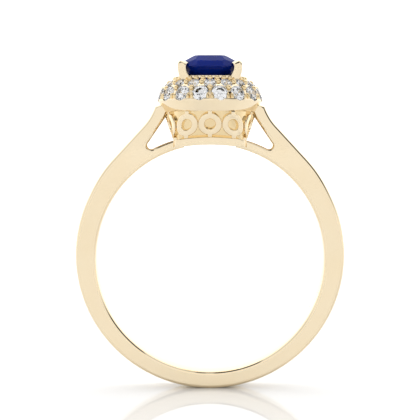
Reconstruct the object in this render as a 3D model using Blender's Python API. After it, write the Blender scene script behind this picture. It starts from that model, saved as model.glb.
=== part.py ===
"""Engagement ring: a cushion sapphire in a two-row diamond halo on a cathedral shank.

The origin is the centre of the finger hole. +Y runs along the finger, +Z up through the
sapphire and X across the band. Metres throughout.
"""

import math

import bmesh
import bpy
from mathutils import Matrix, Vector

MM = 0.001
GAP = 0.025 * MM  # soldered joints and stone seats are drawn this far apart
WELD = 0.0002 * MM

# Shank
FINGER_RADIUS = 8.65 * MM
HOOP_RADIUS = 10.18 * MM
HOOP_RISE = 0.26 * MM  # the outer circle's centre above the finger's, so the hoop thins below
BAND_WIDTH = 2.0 * MM
EDGE_ROUND = 0.25 * MM
SHOULDER_START = math.radians(24.8)  # where the shoulder leaves the outer circle
LOWER_ARM = 0.74 * MM  # thickness of the arm that follows the finger

# Base plate
BASE_HALF_WIDTH = 2.72 * MM
BASE_CORNER = 0.6 * MM
BASE_OPENING = 1.6 * MM  # radius of the round hole under the stone
BASE_BOTTOM = FINGER_RADIUS
BASE_TOP = 9.22 * MM
BASE_BEND = 15.0 * MM  # radius of the plate's bend over the finger

# Halo plate and its dome
PLATE_BOTTOM = 11.1 * MM
PLATE_BOTTOM_RADIUS = 3.5 * MM
RIM_RADIUS = 3.98 * MM
RIM_TOP = 12.02 * MM
DOME_CENTRE = (1.78 * MM, 11.65 * MM)  # radius from the axis, height
DOME_RADIUS = 2.06 * MM
DOME_TOP = 13.57 * MM
DOME_BORE = 1.72 * MM
PLATE_WALL = 0.42 * MM
PLATE_FLANGE = 0.72 * MM  # width of the plate's foot, which stands on the gallery

# Gallery rings, standing on the flared wall between the two plates
GALLERY_CORNER_TOP = 3.28 * MM
RINGS_PER_SIDE = 3
RING_RADIUS = 0.85 * MM
RING_HOLE = 0.4 * MM
RING_PITCH = 1.75 * MM
RING_DEPTH = 0.36 * MM
RING_FOOT = 0.16 * MM  # half the width of the foot that joins a ring to each plate
GALLERY_WALL = 0.25 * MM  # thickness of the plain wall behind the rings

# Sapphire
SAPPHIRE_HALF_WIDTH = 2.25 * MM
SAPPHIRE_SQUARENESS = 3.2
SAPPHIRE_TABLE = 1.17 * MM
TABLE_HEIGHT = 15.3 * MM
GIRDLE_HEIGHT = 14.42 * MM
GIRDLE_BAND = 0.08 * MM
CULET_HEIGHT = 12.35 * MM

# Seat rail
RAIL_HALF_WIDTH = 1.82 * MM
RAIL_CORNER = 0.8 * MM
RAIL_TOP = 13.78 * MM

# Halo diamonds: (stone radius, tilt of the stone's axis from the vertical, first angle)
DIAMONDS_PER_ROW = 16
OUTER_ROW = (0.6 * MM, math.radians(68), math.radians(11.25))
INNER_ROW = (0.46 * MM, math.radians(42), 0.0)


def clear_scene():
    for obj in list(bpy.data.objects):
        bpy.data.objects.remove(obj, do_unlink=True)


def make_material(name, colour, metallic, roughness, transmission=0.0):
    material = bpy.data.materials.new(name)
    material.use_nodes = True
    shader = material.node_tree.nodes["Principled BSDF"]
    shader.inputs["Base Color"].default_value = (*colour, 1.0)
    shader.inputs["Metallic"].default_value = metallic
    shader.inputs["Roughness"].default_value = roughness
    shader.inputs["Transmission Weight"].default_value = transmission
    material.diffuse_color = (*colour, 1.0)
    return material


def add_object(name, mesh_data, material, smooth_below=None):
    """Turns a bmesh into a named object, faces out, shaded smooth across soft edges if asked."""
    bmesh.ops.remove_doubles(mesh_data, verts=mesh_data.verts, dist=WELD)
    bmesh.ops.recalc_face_normals(mesh_data, faces=mesh_data.faces)
    mesh = bpy.data.meshes.new(name)
    mesh_data.to_mesh(mesh)
    mesh_data.free()
    if smooth_below is not None:
        mesh.shade_smooth()
        mesh.set_sharp_from_angle(angle=math.radians(smooth_below))
    if material:
        mesh.materials.append(material)
    obj = bpy.data.objects.new(name, mesh)
    bpy.context.scene.collection.objects.link(obj)
    return obj


def make_cutter(name, mesh_data):
    cutter = add_object(name, mesh_data, None)
    cutter.hide_render = True
    cutter.display_type = "WIRE"
    return cutter


def cut_away(obj, cutter):
    modifier = obj.modifiers.new("cut by " + cutter.name, "BOOLEAN")
    modifier.operation = "DIFFERENCE"
    modifier.object = cutter


def skin_loops(mesh_data, loops, tube=False):
    """Joins loops of equal length one to the next, then last to first, or caps both ends."""
    rows = [[mesh_data.verts.new(point) for point in loop] for loop in loops]
    count = len(rows[0])
    pairs = list(zip(rows, rows[1:] + rows[:1])) if tube else list(zip(rows, rows[1:]))
    for lower, upper in pairs:
        for i in range(count):
            j = (i + 1) % count
            mesh_data.faces.new((lower[i], lower[j], upper[j], upper[i]))
    if not tube:
        mesh_data.faces.new(rows[0][::-1])
        mesh_data.faces.new(rows[-1])
    return mesh_data


def circle_loop(radius, height, steps):
    angles = [2 * math.pi * i / steps for i in range(steps)]
    return [Vector((radius * math.cos(a), radius * math.sin(a), height)) for a in angles]


def square_point(half_width, corner, along):
    """The point and outward normal at a distance along one side, from the middle of the +X side."""
    flat = half_width - corner
    reach = flat + corner * math.pi / 4
    along = max(-reach, min(reach, along))
    if abs(along) <= flat:
        return Vector((half_width, along)), Vector((1.0, 0.0))
    turn = math.copysign((abs(along) - flat) / corner, along)
    normal = Vector((math.cos(turn), math.sin(turn)))
    return Vector((flat, math.copysign(flat, along))) + corner * normal, normal


def square_loop(half_width, corner, height, arc_steps=6, flat_steps=1):
    """A square with rounded corners: four straight sides, each with a quarter arc after it."""
    flat = half_width - corner
    side = [Vector((half_width, flat * (2 * i / flat_steps - 1))) for i in range(flat_steps)]
    side += arc_points((flat, flat), corner, 0.0, math.pi / 2, arc_steps)[:-1]
    points = []
    for quarter in range(4):
        turn = Matrix.Rotation(quarter * math.pi / 2, 2)
        points += [Vector((*(turn @ point), height)) for point in side]
    return points


def cushion_loop(half_width, height, squareness, steps=24):
    """A superellipse: round at a squareness of 2, squarer above it."""
    points = []
    for i in range(steps):
        angle = 2 * math.pi * (i + 0.5) / steps
        c, s = math.cos(angle), math.sin(angle)
        reach = (abs(c) ** squareness + abs(s) ** squareness) ** (-1 / squareness)
        points.append(Vector((half_width * reach * c, half_width * reach * s, height)))
    return points


def arc_points(centre, radius, start, end, steps):
    turns = [start + (end - start) * i / steps for i in range(steps + 1)]
    return [Vector((centre[0] + radius * math.cos(a), centre[1] + radius * math.sin(a))) for a in turns]


def inset_outline(outline, distance):
    """The closed outline moved inwards, each corner along its mitre."""
    moved = []
    for i, point in enumerate(outline):
        before = (point - outline[i - 1]).normalized()
        after = (outline[(i + 1) % len(outline)] - point).normalized()
        inward = (Vector((-before.y, before.x)) + Vector((-after.y, after.x))).normalized()
        moved.append(point + inward * distance / max(inward.dot(Vector((-after.y, after.x))), 0.5))
    return moved


def bezier_points(start, first, second, end, steps):
    points = []
    for i in range(1, steps + 1):
        t = i / steps
        weights = ((1 - t) ** 3, 3 * t * (1 - t) ** 2, 3 * t * t * (1 - t), t**3)
        pulls = (Vector(start), Vector(first), Vector(second), Vector(end))
        points.append(sum((w * p for w, p in zip(weights, pulls)), Vector((0.0, 0.0))))
    return points


# ---- shank -------------------------------------------------------------------------------


def shank_outline():
    """The right half in the XZ plane, from the foot of the outer circle to that of the finger hole."""
    hoop = arc_points((0.0, HOOP_RISE), HOOP_RADIUS, -math.pi / 2, SHOULDER_START, 34)
    leave = hoop[-1]
    straight = Vector((7.3, 7.56)) * MM
    neck = Vector((4.95, 10.1)) * MM
    tip = Vector((4.12, 11.5)) * MM
    tangent = Vector((-math.sin(SHOULDER_START), math.cos(SHOULDER_START)))
    slope = (neck - straight).normalized()
    shoulder = bezier_points(leave, leave + 1.2 * MM * tangent, straight - 1.35 * MM * slope, straight, 8)
    flick = bezier_points(neck, neck + 0.5 * MM * slope, tip + Vector((0.2, -0.54)) * MM, tip, 5)
    inside_head = [Vector((3.0, 11.9)) * MM, Vector((3.0, 11.22)) * MM]
    corner_top = Vector((4.6, 8.86)) * MM
    arm_radius = FINGER_RADIUS + LOWER_ARM
    corner_angle = math.radians(63.2)
    corner_foot = arm_radius * Vector((math.cos(corner_angle), math.sin(corner_angle)))
    middle = (corner_top + corner_foot) / 2
    half = (corner_top - corner_foot) / 2
    start = math.atan2(half.y, half.x)
    window_corner = arc_points(middle, half.length, start, start - math.pi, 6)
    arm = arc_points((0.0, 0.0), arm_radius, corner_angle, math.radians(77), 5)[1:]
    finger = arc_points((0.0, 0.0), FINGER_RADIUS, math.radians(77), -math.pi / 2, 48)
    return hoop + shoulder + [neck] + flick + inside_head + window_corner + arm + finger


def build_shank(material):
    """The outline carried across the band's width, rounded over at both edges."""
    right = shank_outline()
    outline = right + [Vector((-point.x, point.y)) for point in reversed(right[1:-1])]
    loops = []
    for side, turns in ((-1, (90, 45, 0)), (1, (0, 45, 90))):
        for turn in turns:
            lean = math.radians(turn)
            y = side * (BAND_WIDTH / 2 - EDGE_ROUND * (1 - math.sin(lean)))
            edge = inset_outline(outline, EDGE_ROUND * (1 - math.cos(lean)))
            loops.append([Vector((point.x, y, point.y)) for point in edge])
    shank = add_object("shank", skin_loops(bmesh.new(), loops), material, smooth_below=35)
    cut_away(shank, build_head_clearance())
    return shank


def build_head_clearance():
    """What the shank's arms stop short of: the outside of the head, one gap larger all round."""
    stations = (
        (8.0 * MM, BASE_HALF_WIDTH, BASE_CORNER),
        (BASE_TOP, BASE_HALF_WIDTH, BASE_CORNER),
        (PLATE_BOTTOM, PLATE_BOTTOM_RADIUS, GALLERY_CORNER_TOP),
        (RIM_TOP, RIM_RADIUS, RIM_RADIUS - 0.1 * MM),
        (12.6 * MM, RIM_RADIUS, RIM_RADIUS - 0.1 * MM),
    )
    loops = [square_loop(width + GAP, corner + GAP, z, 10) for z, width, corner in stations]
    return make_cutter("head_clearance", skin_loops(bmesh.new(), loops))


# ---- base plate and gallery --------------------------------------------------------------


def bend_drop(x):
    """How far the base plate has dropped below its middle, at a distance across the band."""
    return x * x / (2 * BASE_BEND)


def lower_by_bend(points):
    return [Vector((point.x, point.y, point.z - bend_drop(point.x))) for point in points]


def build_base_plate(material):
    """A square frame bent over the finger, its round opening straight in from its outer edge."""
    below = square_loop(BASE_HALF_WIDTH, BASE_CORNER, BASE_BOTTOM, flat_steps=10)
    above = square_loop(BASE_HALF_WIDTH, BASE_CORNER, BASE_TOP, flat_steps=10)
    inner = []
    for point in above:
        edge = Vector((point.x, point.y)).normalized() * BASE_OPENING
        inner.append(Vector((edge.x, edge.y, BASE_TOP)))
    lowered = [Vector((point.x, point.y, BASE_BOTTOM)) for point in inner]
    loops = [lower_by_bend(loop) for loop in (below, above, inner, lowered)]
    return add_object("base_plate", skin_loops(bmesh.new(), loops, tube=True), material, 35)


def gallery_size(height):
    """Half width and corner radius of the flared gallery at a height."""
    rise = (height - BASE_TOP) / (PLATE_BOTTOM - BASE_TOP)
    half_width = BASE_HALF_WIDTH + rise * (PLATE_BOTTOM_RADIUS - BASE_HALF_WIDTH)
    return half_width, BASE_CORNER + rise * (GALLERY_CORNER_TOP - BASE_CORNER)


def gallery_point(along, height, inward):
    """A point of the flared gallery: along its side, up it, and in from its outer face."""
    flat, normal = square_point(*gallery_size(height), along)
    flat = flat - inward * normal
    return Vector((flat.x, flat.y, height))


def wall_point(share, height, inward):
    """The same, with the place along the side as a share of half its length at that height."""
    half_width, corner = gallery_size(height)
    return gallery_point(share * (half_width - corner + corner * math.pi / 4), height, inward)


def settle_on_bend(point):
    """A gallery point lowered with the bent base plate, fully at its foot and not at all at its top."""
    rise = (point.z - BASE_TOP) / (PLATE_BOTTOM - BASE_TOP)
    return Vector((point.x, point.y, point.z - bend_drop(point.x) * (1 - rise)))


def build_gallery_wall(material):
    """The plain flared wall that the rings stand against, from the base plate to the halo plate."""
    steps = 14
    front = RING_DEPTH + GAP
    back = front + GALLERY_WALL
    foot, top = BASE_TOP + GAP, PLATE_BOTTOM - GAP
    loops = []
    for inward, height in ((front, foot), (front, top), (back, top), (back, foot)):
        loop = []
        for side in range(4):
            turn = Matrix.Rotation(side * math.pi / 2, 3, "Z")
            for i in range(steps):
                share = 2 * (i + 0.5) / steps - 1
                loop.append(settle_on_bend(turn @ wall_point(share, height, inward)))
        loops.append(loop)
    return add_object("gallery_wall", skin_loops(bmesh.new(), loops, tube=True), material, 35)


def ring_outlines():
    """The outer and inner edge of one flat ring, with a small foot above and below."""
    lean = math.atan2(PLATE_BOTTOM_RADIUS - BASE_HALF_WIDTH, PLATE_BOTTOM - BASE_TOP)
    foot_reach = (PLATE_BOTTOM - BASE_TOP) / 2 - GAP
    foot_angle = math.acos(RING_FOOT / RING_RADIUS)
    outer = []
    for side in (0.0, math.pi):
        arc = arc_points((0.0, 0.0), RING_RADIUS, side - foot_angle, side + foot_angle, 12)
        outer += [Vector((point.x, point.y * math.cos(lean))) for point in arc]
        way = math.cos(side)
        outer += [Vector((way * RING_FOOT, way * foot_reach)), Vector((-way * RING_FOOT, way * foot_reach))]
    inner = arc_points((0.0, 0.0), RING_HOLE, -foot_angle, 2 * math.pi - foot_angle, len(outer))[:-1]
    return outer, [Vector((point.x, point.y * math.cos(lean))) for point in inner]


def build_gallery_ring(name, side, place, material):
    """A flat ring bent to the wall. Side 0 faces +X, and the others follow round."""
    middle = (BASE_TOP + PLATE_BOTTOM) / 2
    turn = Matrix.Rotation(side * math.pi / 2, 3, "Z")
    outer, inner = ring_outlines()
    rows = []
    for outline, depth in ((outer, 0.0), (outer, RING_DEPTH), (inner, RING_DEPTH), (inner, 0.0)):
        points = [turn @ gallery_point(place + p.x, middle + p.y, depth) for p in outline]
        rows.append([settle_on_bend(point) for point in points])
    return add_object(name, skin_loops(bmesh.new(), rows, tube=True), material, 35)


# ---- halo plate --------------------------------------------------------------------------


def dome_point(tilt, offset=0.0):
    """Radius and height on the dome where its surface leans by tilt from level."""
    reach = DOME_RADIUS + offset
    return DOME_CENTRE[0] + reach * math.sin(tilt), DOME_CENTRE[1] + reach * math.cos(tilt)


def build_halo_plate(material):
    low = math.acos((RIM_TOP - DOME_CENTRE[1]) / DOME_RADIUS)
    high = math.acos((DOME_TOP - DOME_CENTRE[1]) / DOME_RADIUS)
    dome = [dome_point(low + (high - low) * i / 7) for i in range(8)]
    under = [dome_point(high + (low - high) * i / 3, -2 * PLATE_WALL) for i in range(4)]
    profile = [(PLATE_BOTTOM_RADIUS, PLATE_BOTTOM), (RIM_RADIUS, RIM_TOP - 0.08 * MM)]
    profile += [(RIM_RADIUS - 0.05 * MM, RIM_TOP)] + dome
    profile += [(DOME_BORE, DOME_TOP), (DOME_BORE, under[0][1])] + under
    profile += [(PLATE_BOTTOM_RADIUS - PLATE_FLANGE, PLATE_BOTTOM)]
    loops = [circle_loop(radius, height, 64) for radius, height in profile]
    plate = add_object("halo_plate", skin_loops(bmesh.new(), loops, tube=True), material, 35)
    cut_away(plate, build_seats())
    return plate


def diamond_frame(row, index):
    """The placing matrix of one halo diamond: its girdle's centre, its axis along local Z."""
    _, tilt, first = row
    angle = first + 2 * math.pi * index / DIAMONDS_PER_ROW
    radius, height = dome_point(tilt, -0.03 * MM)
    place = Matrix.Translation((0.0, -radius, height)) @ Matrix.Rotation(tilt, 4, "X")
    return Matrix.Rotation(angle, 4, "Z") @ place


def diamond_loops(radius, margin=0.0):
    """A round stone's outline from culet to table. A margin makes the seat that it drops into."""
    profile = ((0.03, -0.86), (1.0, -0.03), (1.0, 0.03), (0.57, 0.32))
    if margin:
        profile = ((0.03, -0.86), (1.0, -0.03), (1.0, 0.9))
    return [circle_loop(share * radius + margin, rise * radius - margin, 12) for share, rise in profile]


def build_seats():
    """The conical seats of both rows, drilled in from the dome."""
    mesh_data = bmesh.new()
    for row in (OUTER_ROW, INNER_ROW):
        for index in range(DIAMONDS_PER_ROW):
            frame = diamond_frame(row, index)
            loops = [[frame @ point for point in loop] for loop in diamond_loops(row[0], GAP)]
            skin_loops(mesh_data, loops)
    return make_cutter("diamond_seats", mesh_data)


def build_diamond(name, row, index, material):
    diamond = add_object(name, skin_loops(bmesh.new(), diamond_loops(row[0])), material)
    diamond.matrix_world = diamond_frame(row, index)
    return diamond


# ---- sapphire, rail and claws ------------------------------------------------------------


def sapphire_loops(margin=0.0):
    shoulder_height = TABLE_HEIGHT - 0.42 * MM
    shoulder_width = SAPPHIRE_TABLE + 0.72 * MM
    stations = (
        (0.03 * MM, CULET_HEIGHT - margin),
        (SAPPHIRE_HALF_WIDTH, GIRDLE_HEIGHT - GIRDLE_BAND / 2),
        (SAPPHIRE_HALF_WIDTH, GIRDLE_HEIGHT + GIRDLE_BAND / 2),
        (shoulder_width, shoulder_height),
        (SAPPHIRE_TABLE, TABLE_HEIGHT + margin),
    )
    return [cushion_loop(width + margin, z, SAPPHIRE_SQUARENESS) for width, z in stations]


def build_sapphire(material):
    return add_object("centre_sapphire", skin_loops(bmesh.new(), sapphire_loops()), material)


def pavilion_width(height):
    """The sapphire's half width at a height below its girdle."""
    share = (height - CULET_HEIGHT) / (GIRDLE_HEIGHT - CULET_HEIGHT)
    return SAPPHIRE_HALF_WIDTH * share


def build_seat_rail(material):
    """A squared rail whose inner face leans out with the sapphire's pavilion."""
    bottom = DOME_TOP + GAP
    loops = [
        square_loop(RAIL_HALF_WIDTH, RAIL_CORNER, bottom),
        square_loop(RAIL_HALF_WIDTH, RAIL_CORNER, RAIL_TOP),
        square_loop(pavilion_width(RAIL_TOP) + 2 * GAP, RAIL_CORNER, RAIL_TOP),
        square_loop(pavilion_width(bottom) + 2 * GAP, RAIL_CORNER, bottom),
    ]
    return add_object("seat_rail", skin_loops(bmesh.new(), loops, tube=True), material, 35)


def build_claw(name, quarter, sapphire_clearance, material):
    """A round wire that leans out from the dome, stands beside the girdle and hooks over it."""
    stations = (
        (2.46, 13.6, 0.25),
        (2.72, 13.88, 0.3),
        (2.9, 14.2, 0.325),
        (2.92, 14.42, 0.32),
        (2.8, 14.58, 0.26),
        (2.58, 14.68, 0.18),
        (2.38, 14.72, 0.1),
    )
    spots = [Vector((radius, 0.0, height)) * MM for radius, height, _ in stations]
    loops = []
    for i, (spot, (_, _, thickness)) in enumerate(zip(spots, stations)):
        before, after = spots[max(i - 1, 0)], spots[min(i + 1, len(spots) - 1)]
        heading = (after - before).normalized()
        across = Vector((0.0, 1.0, 0.0))
        if i == 0:
            heading = Vector((0.0, 0.0, 1.0))
        inward = across.cross(heading)
        ring = [2 * math.pi * k / 14 for k in range(14)]
        loops.append([spot + thickness * MM * (math.cos(a) * across + math.sin(a) * inward) for a in ring])
    claw = add_object(name, skin_loops(bmesh.new(), loops), material, 50)
    claw.rotation_euler.z = math.pi / 4 + quarter * math.pi / 2
    cut_away(claw, sapphire_clearance)
    return claw


def main():
    clear_scene()
    gold = make_material("polished_yellow_gold", (0.86, 0.65, 0.36), 1.0, 0.12)
    diamond = make_material("diamond", (0.92, 0.94, 0.96), 0.0, 0.02, 0.6)
    sapphire = make_material("blue_sapphire", (0.008, 0.02, 0.24), 0.0, 0.03, 0.3)

    build_shank(gold)
    build_base_plate(gold)
    build_gallery_wall(gold)
    for side in range(4):
        for column in range(RINGS_PER_SIDE):
            place = (column - (RINGS_PER_SIDE - 1) / 2) * RING_PITCH
            number = side * RINGS_PER_SIDE + column + 1
            build_gallery_ring(f"gallery_ring_{number:02d}", side, place, gold)
    build_halo_plate(gold)
    build_seat_rail(gold)
    build_sapphire(sapphire)
    clearance = make_cutter("sapphire_clearance", skin_loops(bmesh.new(), sapphire_loops(GAP)))
    for quarter in range(4):
        build_claw(f"claw_{quarter + 1}", quarter, clearance, gold)
    for index in range(DIAMONDS_PER_ROW):
        build_diamond(f"outer_diamond_{index + 1:02d}", OUTER_ROW, index, diamond)
    for index in range(DIAMONDS_PER_ROW):
        build_diamond(f"inner_diamond_{index + 1:02d}", INNER_ROW, index, diamond)


main()
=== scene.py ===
import math

import bmesh
import bpy
from mathutils import Matrix, Vector


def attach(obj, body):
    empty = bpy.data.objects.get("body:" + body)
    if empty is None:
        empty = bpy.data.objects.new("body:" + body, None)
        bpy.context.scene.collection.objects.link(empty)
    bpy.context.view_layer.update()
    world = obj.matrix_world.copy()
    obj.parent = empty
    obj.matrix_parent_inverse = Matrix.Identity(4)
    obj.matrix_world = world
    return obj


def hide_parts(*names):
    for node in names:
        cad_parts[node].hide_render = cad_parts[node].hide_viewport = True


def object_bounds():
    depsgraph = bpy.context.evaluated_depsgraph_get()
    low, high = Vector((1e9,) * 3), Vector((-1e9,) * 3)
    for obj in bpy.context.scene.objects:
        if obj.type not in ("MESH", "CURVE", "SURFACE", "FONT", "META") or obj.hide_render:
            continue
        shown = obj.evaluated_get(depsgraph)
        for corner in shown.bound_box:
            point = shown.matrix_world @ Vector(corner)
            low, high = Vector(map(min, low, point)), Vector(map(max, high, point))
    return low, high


# Engagement ring in 18 ct yellow gold: a cushion sapphire in a domed, two-row diamond halo.
# The dictionaries give lengths in millimetres and angles in degrees.
# The origin is the centre of the finger hole, and the front faces -Y.

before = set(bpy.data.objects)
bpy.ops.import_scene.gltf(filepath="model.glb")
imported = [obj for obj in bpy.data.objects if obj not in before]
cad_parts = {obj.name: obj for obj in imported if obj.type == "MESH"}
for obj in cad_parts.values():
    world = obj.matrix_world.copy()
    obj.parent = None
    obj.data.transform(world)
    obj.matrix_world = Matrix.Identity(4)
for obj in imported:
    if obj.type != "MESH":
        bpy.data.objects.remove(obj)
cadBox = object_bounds()
mm = 0.001
print("frame loaded:", len(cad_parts), "nodes")


def linearColour(hexValue):
    channels = [int(hexValue[i:i + 2], 16) / 255 for i in (1, 3, 5)]
    return [c / 12.92 if c <= 0.04045 else ((c + 0.055) / 1.055) ** 2.4 for c in channels] + [1.0]


def addNode(tree, kind, settings=None, links=None):
    # a key is a socket's name or number, or else a property of the node
    node = tree.nodes.new(kind)
    for key, value in (settings or {}).items():
        if isinstance(key, int) or key in node.inputs:
            node.inputs[key].default_value = value
        else:
            setattr(node, key, value)
    for key, source in (links or {}).items():
        tree.links.new(source, node.inputs[key])
    return node


def newMaterial(name):
    material = bpy.data.materials.new(name)
    material.use_nodes = True
    material.node_tree.nodes.clear()
    return material, material.node_tree


def arcPoints(centre, radius, start, end, steps):
    turns = [start + (end - start) * i / steps for i in range(steps + 1)]
    return [Vector((centre[0] + radius * math.cos(a), centre[1] + radius * math.sin(a))) for a in turns]


def bezierPoints(start, first, second, end, steps):
    points = []
    for i in range(1, steps + 1):
        t = i / steps
        weights = ((1 - t) ** 3, 3 * t * (1 - t) ** 2, 3 * t * t * (1 - t), t ** 3)
        pulls = (start, first, second, end)
        points.append(sum((w * p for w, p in zip(weights, pulls)), Vector((0.0, 0.0))))
    return points


def insetOutline(outline, distance):
    # the closed outline moved inwards, each corner along its mitre, which is kept from growing too long
    moved = []
    for i, point in enumerate(outline):
        before = (point - outline[i - 1]).normalized()
        after = (outline[(i + 1) % len(outline)] - point).normalized()
        side = Vector((-after.y, after.x))
        inward = (Vector((-before.y, before.x)) + side).normalized()
        shortest = 0.5
        moved.append(point + inward * distance / max(inward.dot(side), shortest))
    return moved


def circleLoop(radius, height, steps):
    angles = [2 * math.pi * i / steps for i in range(steps)]
    return [Vector((radius * math.cos(a), radius * math.sin(a), height)) for a in angles]


def squareLoop(halfWidth, corner, arcSteps, flatSteps):
    # a square with rounded corners, as flat points
    flat = halfWidth - corner
    side = [Vector((halfWidth, flat * (2 * i / flatSteps - 1))) for i in range(flatSteps)]
    side += arcPoints((flat, flat), corner, 0.0, math.pi / 2, arcSteps)[:-1]
    return [Matrix.Rotation(quarter * math.pi / 2, 2) @ point for quarter in range(4) for point in side]


def squircleReach(squareness, angle):
    # how far a superellipse of half width 1 reaches: a squareness of 2 is a circle, and more is squarer
    c, s = math.cos(angle), math.sin(angle)
    return (abs(c) ** squareness + abs(s) ** squareness) ** (-1 / squareness)


def roundedFrame(outer, inner, low, high, fillet, steps=4):
    # a closed section between two matching outlines, with its four edges rounded over
    corners = (
        (outer, inner, low, 1, False), (outer, inner, high, -1, True),
        (inner, outer, high, -1, False), (inner, outer, low, 1, True),
    )
    loops = []
    for near, far, level, way, fromWall in corners:
        for i in range(steps + 1):
            lean = math.pi / 2 * i / steps
            across, up = 1 - math.sin(lean), 1 - math.cos(lean)
            if fromWall:
                across, up = up, across
            loop = []
            for a, b in zip(near, far):
                flat = a + (b - a).normalized() * fillet * across
                loop.append(Vector((flat.x, flat.y, level + way * fillet * up)))
            loops.append(loop)
    return loops


def skinLoops(mesh, loops, tube=False):
    # a skin over loops of equal length: closed with caps, or joined end to end as a tube
    rows = [[mesh.verts.new(point) for point in loop] for loop in loops]
    count = len(rows[0])
    for lower, upper in zip(rows, rows[1:] + rows[:1] if tube else rows[1:]):
        for i in range(count):
            j = (i + 1) % count
            mesh.faces.new((lower[i], lower[j], upper[j], upper[i]))
    if not tube:
        mesh.faces.new(rows[0][::-1])
        mesh.faces.new(rows[-1])
    return mesh


def meshFrom(name, mesh, smoothBelow=None):
    # smooth shading where faces meet at less than the given angle, and flat facets without one
    weld = 0.0002
    bmesh.ops.remove_doubles(mesh, verts=mesh.verts, dist=weld * mm)
    bmesh.ops.recalc_face_normals(mesh, faces=mesh.faces)
    data = bpy.data.meshes.new(name)
    mesh.to_mesh(data)
    mesh.free()
    if smoothBelow is not None:
        data.shade_smooth()
        data.set_sharp_from_angle(angle=math.radians(smoothBelow))
    return data


def addPiece(name, data, material, nodes=(), place=None):
    piece = bpy.data.objects.new(name, data)
    bpy.context.scene.collection.objects.link(piece)
    if place is not None:
        piece.matrix_world = place
    if not data.materials:
        data.materials.append(material)
    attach(piece, "root")
    if nodes:
        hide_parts(*nodes)
    return piece


def cutAway(piece, cutterData):
    # a boolean cut, applied at once so that no cutter is left in the scene
    cutter = bpy.data.objects.new("cutter", cutterData)
    bpy.context.scene.collection.objects.link(cutter)
    modifier = piece.modifiers.new("cut", "BOOLEAN")
    modifier.operation = "DIFFERENCE"
    modifier.object = cutter
    bpy.context.view_layer.update()
    evaluated = piece.evaluated_get(bpy.context.evaluated_depsgraph_get())
    cut = bpy.data.meshes.new_from_object(evaluated)
    piece.modifiers.clear()
    piece.data = cut
    bpy.data.objects.remove(cutter)


def makeGold(name, look):
    # 18 ct yellow gold, mirror polished: pale where it meets white, deeper where gold meets gold.
    # Wheel polishing leaves faint directional lines and a slight waviness.
    # In a colour mix, sockets 6 and 7 are the two colours and output 2 is their blend.
    material, tree = newMaterial(name)
    place = addNode(tree, "ShaderNodeTexCoord").outputs["Object"]
    waves = addNode(
        tree, "ShaderNodeTexNoise",
        {"Scale": 1 / (look["waviness"] * mm), "Detail": 2.0}, {"Vector": place})
    stretch = addNode(
        tree, "ShaderNodeMapping", {"Scale": (1.0, look["lineStretch"], 1.0)}, {"Vector": place})
    lines = addNode(
        tree, "ShaderNodeTexNoise",
        {"Scale": 1 / (look["lineSpacing"] * mm), "Detail": 4.0, "Roughness": 0.6},
        {"Vector": stretch.outputs["Vector"]})
    smoothest, roughest = look["roughness"]
    rough = addNode(
        tree, "ShaderNodeMapRange",
        {"From Min": 0.3, "From Max": 0.7, "To Min": smoothest, "To Max": roughest},
        {"Value": lines.outputs["Fac"]})
    tone = addNode(
        tree, "ShaderNodeMix",
        {"data_type": "RGBA", 6: linearColour(look["colour"]), 7: linearColour(look["deepColour"])},
        {"Factor": waves.outputs["Fac"]})
    height = addNode(
        tree, "ShaderNodeMath", {"operation": "MULTIPLY_ADD", 1: look["lineDepth"]},
        {0: lines.outputs["Fac"], 2: waves.outputs["Fac"]})
    bump = addNode(
        tree, "ShaderNodeBump", {"Strength": look["bump"], "Distance": look["bumpDepth"] * mm},
        {"Height": height.outputs["Value"]})
    shader = addNode(
        tree, "ShaderNodeBsdfPrincipled", {"Metallic": 1.0},
        {"Base Color": tone.outputs[2], "Roughness": rough.outputs["Result"],
         "Normal": bump.outputs["Normal"]})
    addNode(tree, "ShaderNodeOutputMaterial", None, {"Surface": shader.outputs["BSDF"]})
    return material


def makeDiamond(look):
    # brilliant-cut diamond: clear, very high index, so each facet flashes white or grey
    material, tree = newMaterial("clearDiamond")
    place = addNode(tree, "ShaderNodeTexCoord").outputs["Object"]
    film = addNode(tree, "ShaderNodeTexNoise", {"Scale": 1 / (look["filmSize"] * mm)}, {"Vector": place})
    rough = addNode(
        tree, "ShaderNodeMapRange", {"To Min": 0.0, "To Max": look["roughness"]},
        {"Value": film.outputs["Fac"]})
    shader = addNode(
        tree, "ShaderNodeBsdfPrincipled",
        {"Base Color": linearColour(look["colour"]), "IOR": look["ior"],
         "Transmission Weight": look["clear"]},
        {"Roughness": rough.outputs["Result"]})
    addNode(tree, "ShaderNodeOutputMaterial", None, {"Surface": shader.outputs["BSDF"]})
    return material


def makeSapphire(look):
    # blue sapphire, heated and polished: nearly opaque navy with faint silk that lightens it in zones
    material, tree = newMaterial("blueSapphire")
    place = addNode(tree, "ShaderNodeTexCoord").outputs["Object"]
    zones = addNode(
        tree, "ShaderNodeTexNoise",
        {"Scale": 1 / (look["zoneSize"] * mm), "Detail": 2.0}, {"Vector": place})
    tone = addNode(
        tree, "ShaderNodeMix",
        {"data_type": "RGBA", 6: linearColour(look["colour"]), 7: linearColour(look["deepColour"])},
        {"Factor": zones.outputs["Fac"]})
    rough = addNode(
        tree, "ShaderNodeMapRange", {"To Min": 0.0, "To Max": look["roughness"]},
        {"Value": zones.outputs["Fac"]})
    shader = addNode(
        tree, "ShaderNodeBsdfPrincipled",
        {"IOR": look["ior"], "Transmission Weight": look["clear"], "Specular IOR Level": look["shine"]},
        {"Base Color": tone.outputs[2], "Roughness": rough.outputs["Result"]})
    addNode(tree, "ShaderNodeOutputMaterial", None, {"Surface": shader.outputs["BSDF"]})
    return material


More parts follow.
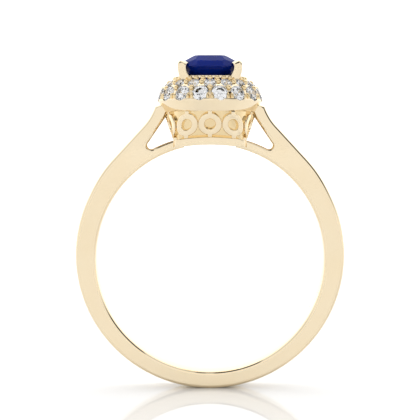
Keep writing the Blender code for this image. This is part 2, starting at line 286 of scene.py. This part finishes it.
polishedLook = {
    "colour": "#F4E4C6", "deepColour": "#F2DFBC", "roughness": (0.02, 0.06),
    "waviness": 1.6, "lineSpacing": 0.12, "lineStretch": 0.15, "lineDepth": 0.3,
    "bump": 0.08, "bumpDepth": 0.02,
}
castLookPaintedShade = {  # as cast: a little rougher, and deeper in colour as painted shade for the grains between the stones and the wall behind the gallery rings
    **polishedLook,
    "colour": "#EFD9AE", "deepColour": "#EBD2A2", "roughness": (0.06, 0.14), "bump": 0.2,
}
polishedGold = makeGold("polishedYellowGold", polishedLook)
# the cast gold's deeper colour is painted shade for parts that sit in recesses
castGoldPaintedShade = makeGold("castYellowGoldPaintedShade", castLookPaintedShade)
clearDiamond = makeDiamond(
    {"colour": "#FCFDFF", "ior": 2.2, "clear": 1.0, "roughness": 0.02, "filmSize": 0.3})
blueSapphire = makeSapphire({
    "colour": "#0A2A94", "deepColour": "#071E70", "ior": 1.77, "clear": 0.15, "roughness": 0.03,
    "zoneSize": 1.2, "shine": 0.01,
})
print("materials made")


# The shank: a hoop whose shoulders rise in a curve and a straight, then fork round a window.
shank = {
    "fingerRadius": 8.65, "hoopRadius": 10.18, "hoopRise": 0.26, "bandWidth": 2.0, "edgeRound": 0.25,
    "shoulderStart": 24.8, "straight": (7.3, 7.56), "neck": (4.95, 10.1), "tip": (4.12, 11.5),
    "windowTop": (3.0, 11.22), "windowCorner": (4.6, 8.86), "cornerAngle": 63.2, "armEnd": 77.0,
    "lowerArm": 0.74, "riseInHead": 0.4,
    # how far the handles of the shoulder's and the tip's curves pull
    "hoopPull": 1.2, "straightPull": 1.35, "neckPull": 0.5, "tipPull": (0.2, -0.54),
    # arm and finger steps stay longer than edgeRound, or the rounding folds the corner between them
    "steps": {"hoop": 120, "shoulder": 24, "flick": 14, "corner": 16, "arm": 6, "finger": 90, "edge": 7},
}


def shankOutline(plan):
    # the right half in the XZ plane, from the foot of the outer circle round to the finger hole
    steps = plan["steps"]
    start, armEnd = math.radians(plan["shoulderStart"]), math.radians(plan["armEnd"])
    hoop = arcPoints((0.0, plan["hoopRise"]), plan["hoopRadius"], -math.pi / 2, start, steps["hoop"])

    # up the shoulder to the neck, then the tip, which goes on inside the head
    straight, neck, tip = Vector(plan["straight"]), Vector(plan["neck"]), Vector(plan["tip"])
    tangent = Vector((-math.sin(start), math.cos(start)))
    slope = (neck - straight).normalized()
    leaving, arriving = hoop[-1] + plan["hoopPull"] * tangent, straight - plan["straightPull"] * slope
    shoulder = bezierPoints(hoop[-1], leaving, arriving, straight, steps["shoulder"])
    leaving, arriving = neck + plan["neckPull"] * slope, tip + Vector(plan["tipPull"])
    flick = bezierPoints(neck, leaving, arriving, tip, steps["flick"])
    windowTop = Vector(plan["windowTop"])
    insideHead = [Vector((windowTop.x, tip.y + plan["riseInHead"])), windowTop]

    # down under the shoulder, round the window's corner, back along the lower arm, and the finger hole
    armRadius = plan["fingerRadius"] + plan["lowerArm"]
    cornerAngle = math.radians(plan["cornerAngle"])
    cornerTop = Vector(plan["windowCorner"])
    cornerFoot = armRadius * Vector((math.cos(cornerAngle), math.sin(cornerAngle)))
    half = (cornerTop - cornerFoot) / 2
    turn = math.atan2(half.y, half.x)
    middle = (cornerTop + cornerFoot) / 2
    corner = arcPoints(middle, half.length, turn, turn - math.pi, steps["corner"])
    arm = arcPoints((0.0, 0.0), armRadius, cornerAngle, armEnd, steps["arm"])[1:]
    finger = arcPoints((0.0, 0.0), plan["fingerRadius"], armEnd, -math.pi / 2, steps["finger"])
    right = hoop + shoulder + [neck] + flick + insideHead + corner + arm + finger
    return right + [Vector((-point.x, point.y)) for point in reversed(right[1:-1])]


def buildShank(plan):
    # the outline from the front face to the back face, both edges rounded over
    outline = shankOutline(plan)
    loops = []
    steps = plan["steps"]["edge"]
    for side in (-1, 1):
        for i in range(steps + 1):
            lean = math.pi / 2 * (steps - i if side < 0 else i) / steps
            y = side * (plan["bandWidth"] / 2 - plan["edgeRound"] * (1 - math.sin(lean)))
            edge = insetOutline(outline, plan["edgeRound"] * (1 - math.cos(lean)))
            loops.append([Vector((point.x, y, point.y)) * mm for point in edge])
    data = meshFrom("shankMesh", skinLoops(bmesh.new(), loops), smoothBelow=40)
    for face in data.polygons:
        isSideFace = abs(face.normal.y) >= 0.999
        face.use_smooth = not isSideFace
    addPiece("ring_shank", data, polishedGold, ["shank"])


buildShank(shank)
print("shank built")


# The head below the halo: a bent base plate, and a wall that leans out and turns from square to round.
head = {
    "baseHalfWidth": 2.72, "baseCorner": 0.6, "baseBottom": 8.65, "baseTop": 9.22, "baseBend": 15.0,
    "baseOpening": 1.6, "edgeRound": 0.07,
    "plateBottom": 11.1, "plateBottomRadius": 3.5, "cornerTop": 3.28,
}
# The gallery: a row of rings on each side, and the plain wall close behind them.
gallery = {
    "perSide": 3, "radius": 0.87, "hole": 0.4, "pitch": 1.75, "depth": 0.36, "foot": 0.16,
    "footSink": 0.03, "edgeRound": 0.1, "ringSteps": 28,
    "wall": 0.25, "wallFront": 0.28, "wallSink": 0.02, "wallSteps": 24, "wallRows": 8,
}


def bendDrop(x):
    return x * x / (2 * head["baseBend"])


def lowerByBend(loops):
    return [[Vector((p.x, p.y, p.z - bendDrop(p.x))) * mm for p in loop] for loop in loops]


def buildBasePlate():
    outer = squareLoop(head["baseHalfWidth"], head["baseCorner"], arcSteps=10, flatSteps=12)
    inner = [point.normalized() * head["baseOpening"] for point in outer]
    loops = roundedFrame(outer, inner, head["baseBottom"], head["baseTop"], head["edgeRound"])
    mesh = skinLoops(bmesh.new(), lowerByBend(loops), tube=True)
    data = meshFrom("basePlateMesh", mesh, smoothBelow=40)
    addPiece("under_plate", data, polishedGold, ["base_plate"])


def squarePoint(halfWidth, corner, along):
    # a point and its outward normal at a distance along one side, from the middle of the +X side
    flat = halfWidth - corner
    reach = flat + corner * math.pi / 4
    along = max(-reach, min(reach, along))
    if abs(along) <= flat:
        return Vector((halfWidth, along)), Vector((1.0, 0.0))
    turn = math.copysign((abs(along) - flat) / corner, along)
    normal = Vector((math.cos(turn), math.sin(turn)))
    return Vector((flat, math.copysign(flat, along))) + corner * normal, normal


def gallerySize(height):
    rise = (height - head["baseTop"]) / (head["plateBottom"] - head["baseTop"])
    halfWidth = head["baseHalfWidth"] + rise * (head["plateBottomRadius"] - head["baseHalfWidth"])
    return halfWidth, head["baseCorner"] + rise * (head["cornerTop"] - head["baseCorner"])


def galleryPoint(along, height, inward):
    flat, normal = squarePoint(*gallerySize(height), along)
    flat = flat - inward * normal
    return Vector((flat.x, flat.y, height))


def settleOnBend(point):
    # lowered with the base plate's bend at the foot, and not at all at the halo
    rise = (point.z - head["baseTop"]) / (head["plateBottom"] - head["baseTop"])
    return Vector((point.x, point.y, point.z - bendDrop(point.x) * (1 - rise)))


def ringOutlines(plan):
    # a flat ring with a small foot above and below, flattened by the lean of the wall
    wallHeight = head["plateBottom"] - head["baseTop"]
    lean = math.atan2(head["plateBottomRadius"] - head["baseHalfWidth"], wallHeight)
    footAngle = math.acos(plan["foot"] / plan["radius"])
    footReach = wallHeight / 2 + plan["footSink"]
    outer = []
    for side in (0.0, math.pi):
        start, end = side - footAngle, side + footAngle
        arc = arcPoints((0.0, 0.0), plan["radius"], start, end, plan["ringSteps"])
        outer += [Vector((point.x, point.y * math.cos(lean))) for point in arc]
        way = math.cos(side)
        outer += [Vector((way * edge * plan["foot"], way * footReach)) for edge in (1, -1)]
    start, end = -footAngle, 2 * math.pi - footAngle
    inner = arcPoints((0.0, 0.0), plan["hole"], start, end, len(outer))[:-1]
    return outer, [Vector((point.x, point.y * math.cos(lean))) for point in inner]


def buildGallery(plan):
    outer, inner = ringOutlines(plan)
    flatLoops = roundedFrame(outer, inner, 0.0, plan["depth"], plan["edgeRound"])
    middle = (head["baseTop"] + head["plateBottom"]) / 2
    for side in range(4):
        turn = Matrix.Rotation(side * math.pi / 2, 3, "Z")
        for column in range(plan["perSide"]):
            place = (column - (plan["perSide"] - 1) / 2) * plan["pitch"]
            loops = []
            for loop in flatLoops:
                points = [turn @ galleryPoint(place + p.x, middle + p.y, p.z) for p in loop]
                loops.append([settleOnBend(point) * mm for point in points])
            number = f"{side * plan['perSide'] + column + 1:02d}"
            mesh = skinLoops(bmesh.new(), loops, tube=True)
            data = meshFrom(f"galleryMesh{number}", mesh, smoothBelow=40)
            node = f"gallery_ring_{number}"
            addPiece(f"gallery_loop_{number}", data, polishedGold, [node])


def buildGalleryWall(plan):
    # its ends are sunk a little into the base plate and the halo
    front, back = plan["wallFront"], plan["depth"] + plan["wall"]
    foot, top = head["baseTop"] - plan["wallSink"], head["plateBottom"] + plan["wallSink"]
    steps, count = plan["wallSteps"], plan["wallRows"]
    rows = [(front, foot + (top - foot) * i / count) for i in range(count + 1)]
    rows += [(back, top), (back, foot)]
    loops = []
    for inward, height in rows:
        halfWidth, corner = gallerySize(height)
        reach = halfWidth - corner + corner * math.pi / 4
        loop = []
        for side in range(4):
            turn = Matrix.Rotation(side * math.pi / 2, 3, "Z")
            places = [reach * (2 * (i + 0.5) / steps - 1) for i in range(steps)]
            points = [turn @ galleryPoint(place, height, inward) for place in places]
            loop += [settleOnBend(point) * mm for point in points]
        loops.append(loop)
    mesh = skinLoops(bmesh.new(), loops, tube=True)
    data = meshFrom("galleryWallMesh", mesh, smoothBelow=40)
    # the wall's deeper cast gold is painted shade behind the gallery rings
    addPiece("inner_basket", data, castGoldPaintedShade, ["gallery_wall"])


buildBasePlate()
buildGalleryWall(gallery)
buildGallery(gallery)
print("gallery built")


# The halo: a flared wall, a low rim and a dome with two rows of seats drilled in it.
halo = {
    "rimRadius": 3.98, "rimTop": 12.02, "rimBand": 0.12, "rimChamfer": (0.03, 0.05),
    "footChamfer": (0.04, 0.03), "flange": 0.72, "bore": 1.72,
    "domeCentre": (1.78, 11.65), "domeRadius": 2.06, "domeTop": 13.57, "domeThickness": 0.84,
    "sides": 192, "domeSteps": 24, "underSteps": 8, "wallSteps": 6, "seatSides": 32,
    "perRow": 16, "stoneSink": 0.03,
    # radius and height up a seat's cutter, in shares of its stone's radius
    "seat": ((0.05, -0.95), (1.02, -0.06), (1.02, 0.9)),
}
outerRow = {"name": "outer", "radius": 0.6, "tilt": 68.0, "first": 11.25}
innerRow = {"name": "inner", "radius": 0.46, "tilt": 42.0, "first": 0.0}
# The grains: round ones between the stones, and tongues at the foot of each outer gap.
grains = {
    "radius": 0.19, "betweenTilt": 40.0, "betweenLift": 0.02, "underTilt": 56.0, "lift": 0.03,
    "topTilt": 24.5, "topRadius": 0.185,
    "tongueTilt": 76.0, "tongueRadius": 0.13, "tongueStretch": 2.2, "tongueSpread": 2.4, "sides": 16,
    # radius and height up a grain, in shares of its radius
    "profile": ((1.15, -0.9), (1.05, 0.0), (0.95, 0.42), (0.7, 0.76), (0.38, 0.94), (0.1, 1.0)),
}


def domePoint(tilt, offset=0.0):
    # radius and height on the dome, or at a distance above or below its skin
    reach = halo["domeRadius"] + offset
    centreRadius, centreHeight = halo["domeCentre"]
    return centreRadius + reach * math.sin(tilt), centreHeight + reach * math.cos(tilt)


def domeFrame(tiltDegrees, angleDegrees, offset):
    # local Z stands up from the dome, local Y points up the slope
    tilt = math.radians(tiltDegrees)
    radius, height = domePoint(tilt, offset)
    place = Matrix.Translation((0.0, -radius * mm, height * mm)) @ Matrix.Rotation(tilt, 4, "X")
    return Matrix.Rotation(math.radians(angleDegrees), 4, "Z") @ place


def rowFrames(row):
    step = 360 / halo["perRow"]
    angles = [row["first"] + step * i for i in range(halo["perRow"])]
    return [domeFrame(row["tilt"], angle, -halo["stoneSink"]) for angle in angles]


def haloProfile():
    # radius and height from the foot, out and up the wall, over the dome, down the bore and back inside
    centreHeight, rimTop, bore = halo["domeCentre"][1], halo["rimTop"], halo["bore"]
    low = math.acos((rimTop - centreHeight) / halo["domeRadius"])
    high = math.acos((halo["domeTop"] - centreHeight) / halo["domeRadius"])
    steps = halo["domeSteps"]
    dome = [domePoint(low + (high - low) * i / steps) for i in range(steps + 1)]
    steps = halo["underSteps"]
    under = [
        domePoint(high + (low - high) * i / steps, -halo["domeThickness"]) for i in range(steps + 1)]

    base, foot, rim = head["plateBottomRadius"], head["plateBottom"], halo["rimRadius"]
    footIn, footUp = halo["footChamfer"]
    rimIn, rimDown = halo["rimChamfer"]
    profile = [(base - footIn, foot), (base, foot + footUp)]
    wallHeight = rimTop - halo["rimBand"] - foot
    for i in range(1, halo["wallSteps"] + 1):
        t = i / halo["wallSteps"]
        profile.append((base + (rim - base) * t, foot + footUp + wallHeight * t))
    profile += [(rim, rimTop - rimDown), (rim - rimIn, rimTop)] + dome
    profile += [(bore, halo["domeTop"]), (bore, under[0][1])] + under
    return profile + [(base - halo["flange"], foot)]


def buildHaloPlate():
    loops = [circleLoop(radius * mm, height * mm, halo["sides"]) for radius, height in haloProfile()]
    data = meshFrom("haloMesh", skinLoops(bmesh.new(), loops, tube=True))
    plate = addPiece("halo_dome", data, polishedGold, ["halo_plate"])
    seats = bmesh.new()
    for row in (outerRow, innerRow):
        size = row["radius"] * mm
        sides = halo["seatSides"]
        loops = [circleLoop(share * size, rise * size, sides) for share, rise in halo["seat"]]
        for place in rowFrames(row):
            skinLoops(seats, [[place @ point for point in loop] for loop in loops])
    cutAway(plate, meshFrom("seatCutters", seats))
    plate.data.shade_smooth()
    plate.data.set_sharp_from_angle(angle=math.radians(35))


def facetNormal(azimuth, slope):
    # the direction that a facet faces: azimuth round the stone, slope away from the table
    a, s = math.radians(azimuth), math.radians(slope)
    return Vector((math.cos(a) * math.sin(s), math.sin(a) * math.sin(s), math.cos(s)))


def cutFacet(mesh, normal, point):
    # grinds away what is outside a plane and fills the flat
    everything = mesh.verts[:] + mesh.edges[:] + mesh.faces[:]
    cut = bmesh.ops.bisect_plane(
        mesh, geom=everything, plane_co=point, plane_no=normal, clear_outer=True, dist=1e-9)
    edges = [item for item in cut["geom_cut"] if isinstance(item, bmesh.types.BMEdge)]
    if edges:
        bmesh.ops.holes_fill(mesh, edges=edges, sides=0)


# The round brilliant, in shares of its radius.
brilliant = {
    "table": 0.56, "girdle": 0.025, "mainSlope": 34.5, "upperSlope": 40.5, "starSlope": 21.0,
    "pavilionSlope": 40.8, "lowerSlope": 42.4,
    "halfReach": 0.995,  # where the upper and lower half facets meet the girdle
    "blank": (-1.1, 0.6), "blankSides": 64,  # the rough cylinder that the facets are cut from
    "fit": 0.985,  # the stone's share of its seat
    "spin": 37,  # turned from one stone to the next, so that no two neighbours line up
}


def brilliantMesh(name, radius, plan):
    # a round brilliant with 57 facets, each one a flat cut
    blank = [circleLoop(1.0, height, plan["blankSides"]) for height in plan["blank"]]
    mesh = skinLoops(bmesh.new(), blank)
    girdle, halfReach = plan["girdle"], plan["halfReach"]
    tableHeight = girdle + (1 - plan["table"]) * math.tan(math.radians(plan["mainSlope"]))
    cutFacet(mesh, Vector((0, 0, 1)), Vector((0, 0, tableHeight)))
    starReach = plan["table"] * math.cos(math.pi / 8)
    tiers = (  # facets in the tier, first azimuth, slope, reach, height, and 1 for up or -1 for down
        (8, 0.0, plan["mainSlope"], 1.0, girdle, 1),
        (8, 22.5, plan["starSlope"], starReach, tableHeight, 1),
        (16, 11.25, plan["upperSlope"], halfReach, girdle, 1),
        (8, 0.0, plan["pavilionSlope"], 1.0, girdle, -1),
        (16, 11.25, plan["lowerSlope"], halfReach, girdle, -1),
    )
    for count, first, slope, reach, height, way in tiers:
        for i in range(count):
            azimuth = math.radians(first + 360 / count * i)
            normal = facetNormal(math.degrees(azimuth), slope)
            point = Vector((reach * math.cos(azimuth), reach * math.sin(azimuth), way * height))
            cutFacet(mesh, Vector((normal.x, normal.y, way * normal.z)), point)
    bmesh.ops.scale(mesh, vec=(radius * mm,) * 3, verts=mesh.verts)
    return meshFrom(name, mesh)


def buildDiamonds(row):
    radius = row["radius"] * brilliant["fit"]
    data = brilliantMesh(row["name"] + "BrilliantMesh", radius, brilliant)
    for i, place in enumerate(rowFrames(row)):
        number = f"{i + 1:02d}"
        spin = Matrix.Rotation(math.radians(brilliant["spin"] * i), 4, "Z")
        name, node = f"{row['name']}_brilliant_{number}", f"{row['name']}_diamond_{number}"
        addPiece(name, data, clearDiamond, [node], place @ spin)


def addGrain(mesh, plan, place, radius, stretch=1.0):
    # a raised grain of gold with a rounded head, stretched up the slope where it is a tongue
    loops = []
    for share, rise in plan["profile"]:
        loop = circleLoop(share * radius * mm, rise * radius * mm, plan["sides"])
        loops.append([place @ Vector((p.x, p.y * stretch, p.z)) for p in loop])
    skinLoops(mesh, loops)


def buildGrains(plan):
    mesh = bmesh.new()
    step = 360 / halo["perRow"]
    lift = plan["lift"]
    for i in range(halo["perRow"]):
        between, under = step * (i + 0.5), step * i  # between two inner stones, and under one
        place = domeFrame(plan["betweenTilt"], between, plan["betweenLift"])
        addGrain(mesh, plan, place, plan["radius"])
        addGrain(mesh, plan, domeFrame(plan["underTilt"], under, lift), plan["radius"])
        for angle in (between, under):
            addGrain(mesh, plan, domeFrame(plan["topTilt"], angle, lift), plan["topRadius"])
        for side in (-1, 1):
            place = domeFrame(plan["tongueTilt"], under + side * plan["tongueSpread"], lift)
            addGrain(mesh, plan, place, plan["tongueRadius"], plan["tongueStretch"])
    data = meshFrom("grainMesh", mesh, smoothBelow=60)
    # the grains' deeper cast gold is painted shade between the stones
    addPiece("halo_grains", data, castGoldPaintedShade)


buildHaloPlate()
buildDiamonds(outerRow)
buildDiamonds(innerRow)
buildGrains(grains)
print("halo built")


# The sapphire: a cushion, its facets cut tier by tier. Reaches are shares of its outline's.
sapphire = {
    "halfWidth": 2.25, "squareness": 3.2, "tableHeight": 15.3, "girdleHeight": 14.42, "girdleBand": 0.08,
    "table": 1.17, "shoulder": (1.89, 14.88), "blankBottom": 11.0, "blankSides": 96,
    "crownSlope": 52.0, "shoulderSlope": 30.0, "starSlope": 24.0, "starReach": 0.06, "starDrop": 0.03,
    "lowerSlope": 47.0, "pavilionSlope": 42.0, "pavilionReach": 0.98,
    "culetSlope": 36.0, "culetReach": 0.72, "culetDrop": 0.52,
}
seatRail = {
    "halfWidth": 2.06, "corner": 0.8, "bottom": 13.44, "top": 13.78, "wall": 0.45, "edgeRound": 0.06,
}
claw = {
    "squareness": 4.0,  # a rounded square section, its flats facing along X and Y
    "sides": 40, "stationSteps": 4,
    "stations": (  # distance from the axis, height, half thickness and half width
        (2.6, 13.45, 0.3, 0.46), (2.74, 13.75, 0.31, 0.42), (2.88, 14.1, 0.32, 0.34),
        (2.92, 14.36, 0.325, 0.325), (2.88, 14.52, 0.34, 0.33), (2.72, 14.62, 0.2, 0.29),
        (2.5, 14.67, 0.1, 0.2), (2.38, 14.68, 0.04, 0.1),
    ),
}


def cushionReach(plan, azimuth):
    # how far a superellipse cushion reaches towards an azimuth, measured square to the facet
    best = 0.0
    for degrees in range(0, 360, 2):
        a = math.radians(degrees)
        best = max(best, squircleReach(plan["squareness"], a) * math.cos(a - math.radians(azimuth)))
    return best * plan["halfWidth"]


def buildSapphire(plan):
    outline = []
    for i in range(plan["blankSides"]):
        a = 2 * math.pi * i / plan["blankSides"]
        reach = plan["halfWidth"] * squircleReach(plan["squareness"], a)
        outline.append((reach * math.cos(a), reach * math.sin(a)))
    ends = (plan["blankBottom"], plan["tableHeight"])
    mesh = skinLoops(bmesh.new(), [[Vector((x, y, z)) for x, y in outline] for z in ends])
    upper = plan["girdleHeight"] + plan["girdleBand"] / 2
    lower = plan["girdleHeight"] - plan["girdleBand"] / 2
    shoulderRadius, shoulderHeight = plan["shoulder"]
    shoulderShare = shoulderRadius / plan["halfWidth"]
    starShare = plan["table"] / plan["halfWidth"] + plan["starReach"]
    starHeight = plan["tableHeight"] - plan["starDrop"]
    tiers = (  # facets in the tier, first azimuth, slope, reach, height, and 1 for up or -1 for down
        (16, 0.0, plan["crownSlope"], 1.0, upper, 1),
        (8, 0.0, plan["shoulderSlope"], shoulderShare, shoulderHeight, 1),
        (8, 22.5, plan["starSlope"], starShare, starHeight, 1),
        (16, 11.25, plan["lowerSlope"], 1.0, lower, -1),
        (16, 0.0, plan["pavilionSlope"], plan["pavilionReach"], lower, -1),
        (8, 22.5, plan["culetSlope"], plan["culetReach"], lower - plan["culetDrop"], -1),
    )
    for count, first, slope, share, height, way in tiers:
        for i in range(count):
            azimuth = first + 360 / count * i
            reach = cushionReach(plan, azimuth) * share
            turn = math.radians(azimuth)
            normal = facetNormal(azimuth, slope)
            point = Vector((reach * math.cos(turn), reach * math.sin(turn), height))
            cutFacet(mesh, Vector((normal.x, normal.y, way * normal.z)), point)
    bmesh.ops.scale(mesh, vec=(mm,) * 3, verts=mesh.verts)
    data = meshFrom("sapphireMesh", mesh)
    addPiece("cushion_sapphire", data, blueSapphire, ["centre_sapphire"])


def buildSeatRail(plan):
    innerWidth, innerCorner = plan["halfWidth"] - plan["wall"], plan["corner"] - plan["wall"] / 2
    outer = squareLoop(plan["halfWidth"], plan["corner"], arcSteps=12, flatSteps=6)
    inner = squareLoop(innerWidth, innerCorner, arcSteps=12, flatSteps=6)
    loops = roundedFrame(outer, inner, plan["bottom"], plan["top"], plan["edgeRound"], steps=3)
    loops = [[point * mm for point in loop] for loop in loops]
    data = meshFrom("seatRailMesh", skinLoops(bmesh.new(), loops, tube=True), smoothBelow=40)
    addPiece("stone_seat", data, polishedGold, ["seat_rail"])


def smoothStations(stations, steps):
    # a Catmull-Rom curve through the stations, several points to each stretch
    result = []
    last = len(stations) - 1
    for i in range(last):
        four = [Vector(stations[max(0, min(last, k))]) for k in (i - 1, i, i + 1, i + 2)]
        for j in range(steps):
            t = j / steps
            a, b, c, d = four
            result.append(0.5 * (2 * b + (c - a) * t + (2 * a - 5 * b + 4 * c - d) * t * t
                                 + (3 * b - a - 3 * c + d) * t ** 3))
    return result + [Vector(stations[-1])]


def buildClaws(plan):
    # one claw in the XZ plane, hooked over the girdle, and then turned to each corner
    stations = smoothStations(plan["stations"], plan["stationSteps"])
    section = []
    for k in range(plan["sides"]):
        a = 2 * math.pi * k / plan["sides"]
        reach = squircleReach(plan["squareness"], a + math.pi / 4)
        section.append(Vector((reach * math.cos(a), reach * math.sin(a))))
    spots = [Vector((station[0], 0.0, station[1])) for station in stations]
    loops = []
    for i, station in enumerate(stations):
        before, after = spots[max(i - 1, 0)], spots[min(i + 1, len(spots) - 1)]
        across = Vector((0.0, 1.0, 0.0))
        inward = across.cross((after - before).normalized())
        wide, thick = station[3] * across, station[2] * inward
        loops.append([(spots[i] + point.x * wide + point.y * thick) * mm for point in section])
    data = meshFrom("clawMesh", skinLoops(bmesh.new(), loops), smoothBelow=60)
    for quarter in range(4):
        turn = Matrix.Rotation(math.pi / 4 + quarter * math.pi / 2, 4, "Z")
        name, node = f"prong_{quarter + 1}", f"claw_{quarter + 1}"
        addPiece(name, data, polishedGold, [node], turn)


buildSapphire(sapphire)
buildSeatRail(seatRail)
buildClaws(claw)
print("sapphire and claws built")


# The studio: a white floor, a white room that brightens towards the back and the ceiling, and flags.
# Places in the room are a direction's X, Y or Z, each from -1 to 1.
studio = {
    "floorSize": 3000.0, "floorColour": "#FAFAFA", "floorRoughness": 0.04,
    "front": 1.02, "back": 1.42, "backSpan": (-0.2, 0.6), "ceiling": 1.62, "ceilingSpan": (0.4, 0.95),
    # a row of flags hangs in front of the ring and above it, from black to pale grey
    "flagNear": -0.75, "flagFar": -0.12, "flagFoot": 0.02, "flagSoftness": 0.08,
    "flags": (  # place across the row, from -1 at the left to 1 at the right, and the light left there
        (-0.95, 1.0), (-0.88, 0.8), (-0.52, 0.8), (-0.48, 0.04), (-0.06, 0.04), (-0.03, 0.6),
        (0.03, 0.6), (0.06, 0.25), (0.13, 0.25), (0.16, 0.7), (0.62, 0.7), (0.65, 0.0),
        (0.91, 0.0), (0.99, 1.0),
    ),
}
cameraPlan = {"distance": 78.0, "height": 9.2, "lens": 87.8, "pitch": 4.061}


def buildFloor(plan):
    half = plan["floorSize"] / 2 * mm
    level = cadBox[0].z
    mesh = bmesh.new()
    corners = ((-half, -half), (half, -half), (half, half), (-half, half))
    mesh.faces.new([mesh.verts.new((x, y, level)) for x, y in corners])
    data = bpy.data.meshes.new("floorMesh")
    mesh.to_mesh(data)
    mesh.free()
    material, tree = newMaterial("whiteAcrylic")  # cast acrylic sheet: white with a soft mirror image
    white, rough = linearColour(plan["floorColour"]), plan["floorRoughness"]
    shader = addNode(
        tree, "ShaderNodeBsdfPrincipled", {"Base Color": white, "Roughness": rough, "IOR": 1.49})
    addNode(tree, "ShaderNodeOutputMaterial", None, {"Surface": shader.outputs["BSDF"]})
    data.materials.append(material)
    floor = bpy.data.objects.new("floor", data)
    bpy.context.scene.collection.objects.link(floor)


def buildRoom(plan):
    world = bpy.data.worlds.new("studioRoom")
    world.use_nodes = True
    tree = world.node_tree
    tree.nodes.clear()

    direction = addNode(tree, "ShaderNodeTexCoord").outputs["Generated"]
    x, y, z = addNode(tree, "ShaderNodeSeparateXYZ", None, {"Vector": direction}).outputs
    near, far, foot, soft = plan["flagNear"], plan["flagFar"], plan["flagFoot"], plan["flagSoftness"]
    slopes = (  # each row: what is measured, where it starts and ends, the value at each end
        (y, *plan["backSpan"], plan["front"], plan["back"]),
        (z, *plan["ceilingSpan"], plan["front"], plan["ceiling"]),
        (y, near - soft, near + soft, 0.0, 1.0),
        (y, far - soft, far + soft, 1.0, 0.0),
        (z, foot, foot + 2 * soft, 0.0, 1.0),
    )
    walls, ceiling, pastNear, beforeFar, aboveFloor = [
        addNode(
            tree, "ShaderNodeMapRange",
            {"From Min": low, "From Max": high, "To Min": first, "To Max": last}, {"Value": measured},
        ).outputs["Result"] for measured, low, high, first, last in slopes]
    room = addNode(tree, "ShaderNodeMath", {"operation": "MAXIMUM"}, {0: walls, 1: ceiling})
    strip = addNode(tree, "ShaderNodeMath", {"operation": "MULTIPLY"}, {0: pastNear, 1: beforeFar})
    inRow = addNode(
        tree, "ShaderNodeMath", {"operation": "MULTIPLY"}, {0: strip.outputs[0], 1: aboveFloor})

    # the place across the row: how far a direction leans sideways, seen from the front
    flat = addNode(tree, "ShaderNodeCombineXYZ", {"Y": 0.0}, {"X": x, "Z": z})
    unit = addNode(
        tree, "ShaderNodeVectorMath", {"operation": "NORMALIZE"}, {0: flat.outputs["Vector"]})
    sideways = addNode(tree, "ShaderNodeSeparateXYZ", None, {"Vector": unit.outputs["Vector"]})
    along = addNode(
        tree, "ShaderNodeMapRange", {"From Min": -1.0, "From Max": 1.0},
        {"Value": sideways.outputs["X"]})
    shades = addNode(tree, "ShaderNodeValToRGB", None, {"Fac": along.outputs["Result"]})
    for across, shade in plan["flags"]:
        stop = shades.color_ramp.elements.new((across + 1) / 2)
        stop.color = (shade, shade, shade, 1.0)
    shades.color_ramp.elements[0].color = (1.0, 1.0, 1.0, 1.0)
    strength = addNode(  # sockets 0, 2 and 3 of a plain mix are its factor and its two values
        tree, "ShaderNodeMix", {"data_type": "FLOAT"},
        {0: inRow.outputs[0], 2: room.outputs[0], 3: shades.outputs["Color"]})
    light = addNode(
        tree, "ShaderNodeBackground", {"Color": (1.0, 1.0, 1.0, 1.0)}, {"Strength": strength.outputs[0]})
    addNode(tree, "ShaderNodeOutputWorld", None, {"Surface": light.outputs["Background"]})
    bpy.context.scene.world = world


def buildCamera(plan):
    camera = bpy.data.objects.new("camera", bpy.data.cameras.new("camera"))
    camera.data.lens = plan["lens"]
    camera.data.clip_start = 1 * mm
    camera.location = (0.0, -plan["distance"] * mm, plan["height"] * mm)
    camera.rotation_euler = (math.radians(90 - plan["pitch"]), 0.0, 0.0)
    bpy.context.scene.collection.objects.link(camera)
    bpy.context.scene.camera = camera


buildFloor(studio)
buildRoom(studio)
buildCamera(cameraPlan)
bpy.context.scene.view_settings.view_transform = "Standard"
print("studio built")
